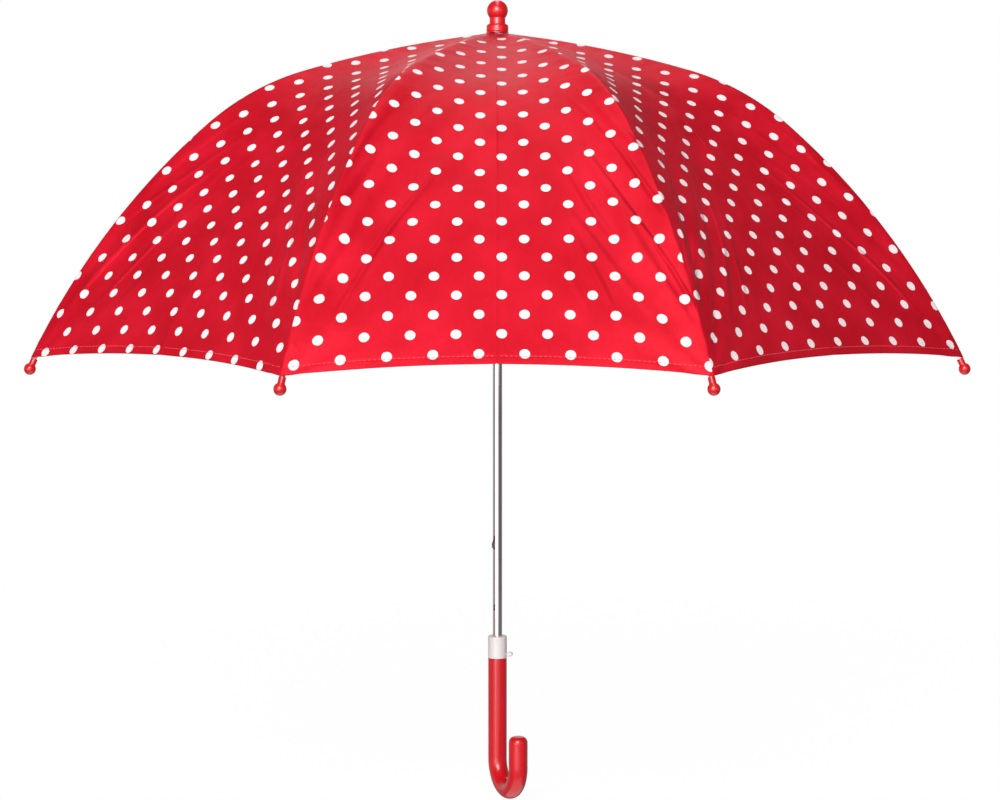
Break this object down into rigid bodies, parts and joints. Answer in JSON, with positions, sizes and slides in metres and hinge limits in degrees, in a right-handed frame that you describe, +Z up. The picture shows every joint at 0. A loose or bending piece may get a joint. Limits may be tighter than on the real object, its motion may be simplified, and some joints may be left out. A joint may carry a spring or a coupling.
{
  "type": "children's stick umbrella",
  "caption": "Open children's stick umbrella with a dotted dome canopy, curved ribs on a sliding runner, a steel shaft and a crook handle.",
  "frame": {"origin": "on the shaft's axis, at the middle of the handle's straight grip", "axes": "+Z up along the shaft towards the ferrule; +X from the shaft towards the open end of the crook; +Y follows the right-hand rule"},
  "size_m": [0.7082, 0.7082, 0.5924],
  "materials": {
    "red_cloth": "satin woven polyester with white dots",
    "red_plastic": "gloss",
    "white_plastic": "semi-gloss",
    "black_plastic": "satin",
    "steel": "bright plated",
    "rib_steel": "zinc plated",
    "spring_steel": "bright",
    "wire": "bright"
  },
  "bodies": {
    "root": {"handle": "red_plastic", "collar": "white_plastic", "shaft": "steel", "ferrule": "red_plastic", "top_cap": "red_plastic", "notch": "black_plastic", "notch_wire": "wire", "notch_pin": "wire", "runner_stop": "wire"},
    "rib_1": {"rib_1": "rib_steel", "tip_1": "red_plastic"},
    "stretcher_1": {"stretcher_1": "rib_steel"},
    "cloth_1_left": {"canopy_1_left": "red_cloth"},
    "cloth_1_right": {"canopy_1_right": "red_cloth"},
    "rib_2": {"rib_2": "rib_steel", "tip_2": "red_plastic"},
    "stretcher_2": {"stretcher_2": "rib_steel"},
    "cloth_2_left": {"canopy_2_left": "red_cloth"},
    "cloth_2_right": {"canopy_2_right": "red_cloth"},
    "rib_3": {"rib_3": "rib_steel", "tip_3": "red_plastic"},
    "stretcher_3": {"stretcher_3": "rib_steel"},
    "cloth_3_left": {"canopy_3_left": "red_cloth"},
    "cloth_3_right": {"canopy_3_right": "red_cloth"},
    "rib_4": {"rib_4": "rib_steel", "tip_4": "red_plastic"},
    "stretcher_4": {"stretcher_4": "rib_steel"},
    "cloth_4_left": {"canopy_4_left": "red_cloth", "tie_strap": "red_cloth", "strap_ring": "white_plastic"},
    "cloth_4_right": {"canopy_4_right": "red_cloth"},
    "rib_5": {"rib_5": "rib_steel", "tip_5": "red_plastic"},
    "stretcher_5": {"stretcher_5": "rib_steel"},
    "cloth_5_left": {"canopy_5_left": "red_cloth"},
    "cloth_5_right": {"canopy_5_right": "red_cloth"},
    "rib_6": {"rib_6": "rib_steel", "tip_6": "red_plastic"},
    "stretcher_6": {"stretcher_6": "rib_steel"},
    "cloth_6_left": {"canopy_6_left": "red_cloth"},
    "cloth_6_right": {"canopy_6_right": "red_cloth"},
    "rib_7": {"rib_7": "rib_steel", "tip_7": "red_plastic"},
    "stretcher_7": {"stretcher_7": "rib_steel"},
    "cloth_7_left": {"canopy_7_left": "red_cloth"},
    "cloth_7_right": {"canopy_7_right": "red_cloth"},
    "rib_8": {"rib_8": "rib_steel", "tip_8": "red_plastic"},
    "stretcher_8": {"stretcher_8": "rib_steel"},
    "cloth_8_left": {"canopy_8_left": "red_cloth"},
    "cloth_8_right": {"canopy_8_right": "red_cloth"},
    "runner": {"runner": "white_plastic", "runner_wire": "wire"},
    "upper_catch": {"upper_catch": "spring_steel"},
    "lower_catch": {"lower_catch": "spring_steel"}
  },
  "joints": [
    {"name": "fold", "type": "hinge", "parent": "root", "child": "rib_1", "pos_m": [0.0065, 0, 0.5], "axis": [0, 1, 0], "range_deg": [0, 53], "deforming": ["canopy_1_left", "canopy_1_right", "canopy_2_left", "canopy_2_right", "canopy_3_left", "canopy_3_right", "canopy_4_left", "canopy_4_right", "canopy_5_left", "canopy_5_right", "canopy_6_left", "canopy_6_right", "canopy_7_left", "canopy_7_right", "canopy_8_left", "canopy_8_right", "tie_strap", "strap_ring", "upper_catch", "lower_catch"]},
    {"name": "stretcher_1_rivet", "type": "hinge", "parent": "rib_1", "child": "stretcher_1", "pos_m": [0.20354, 0, 0.44448], "axis": [0, 1, 0], "range_deg": [-106, 0]},
    {"name": "cloth_1_left_fold", "type": "hinge", "parent": "rib_1", "child": "cloth_1_left", "pos_m": [0.0065, 0, 0.5], "axis": [0.8242, 0, -0.5663], "range_deg": [0, 63]},
    {"name": "cloth_1_right_fold", "type": "hinge", "parent": "rib_1", "child": "cloth_1_right", "pos_m": [0.0065, 0, 0.5], "axis": [0.8242, 0, -0.5663], "range_deg": [-63, 0]},
    {"name": "rib_2_hinge", "type": "hinge", "parent": "root", "child": "rib_2", "pos_m": [0.0046, 0.0046, 0.5], "axis": [-0.7071, 0.7071, 0], "range_deg": [0, 53]},
    {"name": "stretcher_2_rivet", "type": "hinge", "parent": "rib_2", "child": "stretcher_2", "pos_m": [0.14393, 0.14393, 0.44448], "axis": [-0.7071, 0.7071, 0], "range_deg": [-106, 0]},
    {"name": "cloth_2_left_fold", "type": "hinge", "parent": "rib_2", "child": "cloth_2_left", "pos_m": [0.0046, 0.0046, 0.5], "axis": [0.5828, 0.5828, -0.5663], "range_deg": [0, 63]},
    {"name": "cloth_2_right_fold", "type": "hinge", "parent": "rib_2", "child": "cloth_2_right", "pos_m": [0.0046, 0.0046, 0.5], "axis": [0.5828, 0.5828, -0.5663], "range_deg": [-63, 0]},
    {"name": "rib_3_hinge", "type": "hinge", "parent": "root", "child": "rib_3", "pos_m": [0, 0.0065, 0.5], "axis": [-1, 0, 0], "range_deg": [0, 53]},
    {"name": "stretcher_3_rivet", "type": "hinge", "parent": "rib_3", "child": "stretcher_3", "pos_m": [0, 0.20354, 0.44448], "axis": [-1, 0, 0], "range_deg": [-106, 0]},
    {"name": "cloth_3_left_fold", "type": "hinge", "parent": "rib_3", "child": "cloth_3_left", "pos_m": [0, 0.0065, 0.5], "axis": [0, 0.8242, -0.5663], "range_deg": [0, 63]},
    {"name": "cloth_3_right_fold", "type": "hinge", "parent": "rib_3", "child": "cloth_3_right", "pos_m": [0, 0.0065, 0.5], "axis": [0, 0.8242, -0.5663], "range_deg": [-63, 0]},
    {"name": "rib_4_hinge", "type": "hinge", "parent": "root", "child": "rib_4", "pos_m": [-0.0046, 0.0046, 0.5], "axis": [-0.7071, -0.7071, 0], "range_deg": [0, 53]},
    {"name": "stretcher_4_rivet", "type": "hinge", "parent": "rib_4", "child": "stretcher_4", "pos_m": [-0.14393, 0.14393, 0.44448], "axis": [-0.7071, -0.7071, 0], "range_deg": [-106, 0]},
    {"name": "cloth_4_left_fold", "type": "hinge", "parent": "rib_4", "child": "cloth_4_left", "pos_m": [-0.0046, 0.0046, 0.5], "axis": [-0.5828, 0.5828, -0.5663], "range_deg": [0, 63]},
    {"name": "cloth_4_right_fold", "type": "hinge", "parent": "rib_4", "child": "cloth_4_right", "pos_m": [-0.0046, 0.0046, 0.5], "axis": [-0.5828, 0.5828, -0.5663], "range_deg": [-63, 0]},
    {"name": "rib_5_hinge", "type": "hinge", "parent": "root", "child": "rib_5", "pos_m": [-0.0065, 0, 0.5], "axis": [0, -1, 0], "range_deg": [0, 53]},
    {"name": "stretcher_5_rivet", "type": "hinge", "parent": "rib_5", "child": "stretcher_5", "pos_m": [-0.20354, 0, 0.44448], "axis": [0, -1, 0], "range_deg": [-106, 0]},
    {"name": "cloth_5_left_fold", "type": "hinge", "parent": "rib_5", "child": "cloth_5_left", "pos_m": [-0.0065, 0, 0.5], "axis": [-0.8242, 0, -0.5663], "range_deg": [0, 63]},
    {"name": "cloth_5_right_fold", "type": "hinge", "parent": "rib_5", "child": "cloth_5_right", "pos_m": [-0.0065, 0, 0.5], "axis": [-0.8242, 0, -0.5663], "range_deg": [-63, 0]},
    {"name": "rib_6_hinge", "type": "hinge", "parent": "root", "child": "rib_6", "pos_m": [-0.0046, -0.0046, 0.5], "axis": [0.7071, -0.7071, 0], "range_deg": [0, 53]},
    {"name": "stretcher_6_rivet", "type": "hinge", "parent": "rib_6", "child": "stretcher_6", "pos_m": [-0.14393, -0.14393, 0.44448], "axis": [0.7071, -0.7071, 0], "range_deg": [-106, 0]},
    {"name": "cloth_6_left_fold", "type": "hinge", "parent": "rib_6", "child": "cloth_6_left", "pos_m": [-0.0046, -0.0046, 0.5], "axis": [-0.5828, -0.5828, -0.5663], "range_deg": [0, 63]},
    {"name": "cloth_6_right_fold", "type": "hinge", "parent": "rib_6", "child": "cloth_6_right", "pos_m": [-0.0046, -0.0046, 0.5], "axis": [-0.5828, -0.5828, -0.5663], "range_deg": [-63, 0]},
    {"name": "rib_7_hinge", "type": "hinge", "parent": "root", "child": "rib_7", "pos_m": [0, -0.0065, 0.5], "axis": [1, 0, 0], "range_deg": [0, 53]},
    {"name": "stretcher_7_rivet", "type": "hinge", "parent": "rib_7", "child": "stretcher_7", "pos_m": [0, -0.20354, 0.44448], "axis": [1, 0, 0], "range_deg": [-106, 0]},
    {"name": "cloth_7_left_fold", "type": "hinge", "parent": "rib_7", "child": "cloth_7_left", "pos_m": [0, -0.0065, 0.5], "axis": [0, -0.8242, -0.5663], "range_deg": [0, 63]},
    {"name": "cloth_7_right_fold", "type": "hinge", "parent": "rib_7", "child": "cloth_7_right", "pos_m": [0, -0.0065, 0.5], "axis": [0, -0.8242, -0.5663], "range_deg": [-63, 0]},
    {"name": "rib_8_hinge", "type": "hinge", "parent": "root", "child": "rib_8", "pos_m": [0.0046, -0.0046, 0.5], "axis": [0.7071, 0.7071, 0], "range_deg": [0, 53]},
    {"name": "stretcher_8_rivet", "type": "hinge", "parent": "rib_8", "child": "stretcher_8", "pos_m": [0.14393, -0.14393, 0.44448], "axis": [0.7071, 0.7071, 0], "range_deg": [-106, 0]},
    {"name": "cloth_8_left_fold", "type": "hinge", "parent": "rib_8", "child": "cloth_8_left", "pos_m": [0.0046, -0.0046, 0.5], "axis": [0.5828, -0.5828, -0.5663], "range_deg": [0, 63]},
    {"name": "cloth_8_right_fold", "type": "hinge", "parent": "rib_8", "child": "cloth_8_right", "pos_m": [0.0046, -0.0046, 0.5], "axis": [0.5828, -0.5828, -0.5663], "range_deg": [-63, 0]},
    {"name": "runner_hinge", "type": "hinge", "parent": "stretcher_1", "child": "runner", "pos_m": [0.0065, 0, 0.38895], "axis": [0, 1, 0], "range_deg": [0, 53]},
    {"name": "upper_catch_press", "type": "slide", "parent": "root", "child": "upper_catch", "axis": [-0.3827, 0.9239, 0], "range_m": [0, 0.0019], "stiffness_N_per_m": 1500, "springref_m": -0.0005},
    {"name": "lower_catch_press", "type": "slide", "parent": "root", "child": "lower_catch", "axis": [-0.3827, 0.9239, 0], "range_m": [0, 0.0019], "stiffness_N_per_m": 1500, "springref_m": -0.0005}
  ],
  "couplings": [
    {"joint": "cloth_1_left_fold", "follows": "fold", "ratio": 1.1887},
    {"joint": "cloth_1_right_fold", "follows": "fold", "ratio": -1.1887},
    {"joint": "stretcher_1_rivet", "follows": "fold", "ratio": -2},
    {"joint": "cloth_2_left_fold", "follows": "fold", "ratio": 1.1887},
    {"joint": "cloth_2_right_fold", "follows": "fold", "ratio": -1.1887},
    {"joint": "rib_2_hinge", "follows": "fold", "ratio": 1},
    {"joint": "stretcher_2_rivet", "follows": "fold", "ratio": -2},
    {"joint": "cloth_3_left_fold", "follows": "fold", "ratio": 1.1887},
    {"joint": "cloth_3_right_fold", "follows": "fold", "ratio": -1.1887},
    {"joint": "rib_3_hinge", "follows": "fold", "ratio": 1},
    {"joint": "stretcher_3_rivet", "follows": "fold", "ratio": -2},
    {"joint": "cloth_4_left_fold", "follows": "fold", "ratio": 1.1887},
    {"joint": "cloth_4_right_fold", "follows": "fold", "ratio": -1.1887},
    {"joint": "rib_4_hinge", "follows": "fold", "ratio": 1},
    {"joint": "stretcher_4_rivet", "follows": "fold", "ratio": -2},
    {"joint": "cloth_5_left_fold", "follows": "fold", "ratio": 1.1887},
    {"joint": "cloth_5_right_fold", "follows": "fold", "ratio": -1.1887},
    {"joint": "rib_5_hinge", "follows": "fold", "ratio": 1},
    {"joint": "stretcher_5_rivet", "follows": "fold", "ratio": -2},
    {"joint": "cloth_6_left_fold", "follows": "fold", "ratio": 1.1887},
    {"joint": "cloth_6_right_fold", "follows": "fold", "ratio": -1.1887},
    {"joint": "rib_6_hinge", "follows": "fold", "ratio": 1},
    {"joint": "stretcher_6_rivet", "follows": "fold", "ratio": -2},
    {"joint": "cloth_7_left_fold", "follows": "fold", "ratio": 1.1887},
    {"joint": "cloth_7_right_fold", "follows": "fold", "ratio": -1.1887},
    {"joint": "rib_7_hinge", "follows": "fold", "ratio": 1},
    {"joint": "stretcher_7_rivet", "follows": "fold", "ratio": -2},
    {"joint": "cloth_8_left_fold", "follows": "fold", "ratio": 1.1887},
    {"joint": "cloth_8_right_fold", "follows": "fold", "ratio": -1.1887},
    {"joint": "rib_8_hinge", "follows": "fold", "ratio": 1},
    {"joint": "stretcher_8_rivet", "follows": "fold", "ratio": -2},
    {"joint": "runner_hinge", "follows": "fold", "ratio": 1}
  ]
}
